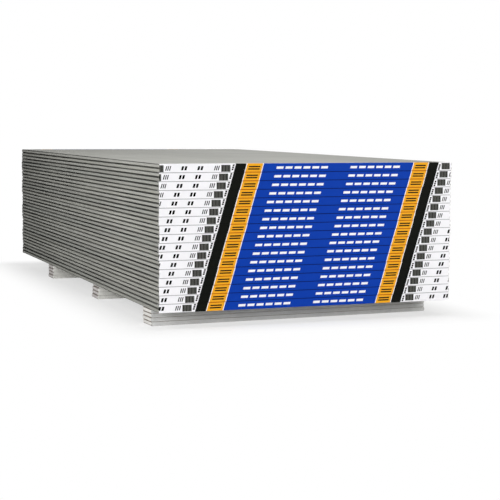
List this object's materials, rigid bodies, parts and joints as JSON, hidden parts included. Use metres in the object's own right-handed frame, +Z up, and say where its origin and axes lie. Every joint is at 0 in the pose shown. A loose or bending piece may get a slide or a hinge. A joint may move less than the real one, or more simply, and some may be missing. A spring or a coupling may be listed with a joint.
{
  "type": "stack of drywall sheets",
  "caption": "Stack of tapered-edge drywall sheets, bound face to face in pairs by printed end tape, standing on risers glued up from strips of board.",
  "frame": {"origin": "on the floor, under the middle of the stack", "axes": "+X across the sheets, +Y along them towards the rear end, +Z up"},
  "size_m": [1.2222, 2.442, 0.6157],
  "materials": {
    "riser_gypsum": "cut gypsum between layers of paper, matt",
    "board_paper": "grey recycled paper, matt",
    "end_tape": "printed paper tape, satin"
  },
  "bodies": {
    "root": {"front_riser_strip_1": "riser_gypsum", "front_riser_strip_2": "riser_gypsum", "front_riser_strip_3": "riser_gypsum", "front_riser_strip_4": "riser_gypsum", "middle_riser_strip_1": "riser_gypsum", "middle_riser_strip_2": "riser_gypsum", "middle_riser_strip_3": "riser_gypsum", "middle_riser_strip_4": "riser_gypsum", "rear_riser_strip_1": "riser_gypsum", "rear_riser_strip_2": "riser_gypsum", "rear_riser_strip_3": "riser_gypsum", "rear_riser_strip_4": "riser_gypsum", "sheet_01": "board_paper", "sheet_02": "board_paper", "sheet_03": "board_paper", "sheet_04": "board_paper", "sheet_05": "board_paper", "sheet_06": "board_paper", "sheet_07": "board_paper", "sheet_08": "board_paper", "sheet_09": "board_paper", "sheet_10": "board_paper", "sheet_11": "board_paper", "sheet_12": "board_paper", "sheet_13": "board_paper", "sheet_14": "board_paper", "sheet_15": "board_paper", "sheet_16": "board_paper", "sheet_17": "board_paper", "sheet_18": "board_paper", "sheet_19": "board_paper", "sheet_20": "board_paper", "sheet_21": "board_paper", "sheet_22": "board_paper", "sheet_23": "board_paper", "sheet_24": "board_paper", "sheet_25": "board_paper", "sheet_26": "board_paper", "sheet_27": "board_paper", "sheet_28": "board_paper", "sheet_29": "board_paper", "sheet_30": "board_paper", "sheet_31": "board_paper", "sheet_32": "board_paper", "sheet_33": "board_paper", "sheet_34": "board_paper", "front_end_tapes": "end_tape", "rear_end_tapes": "end_tape"}
  },
  "joints": []
}
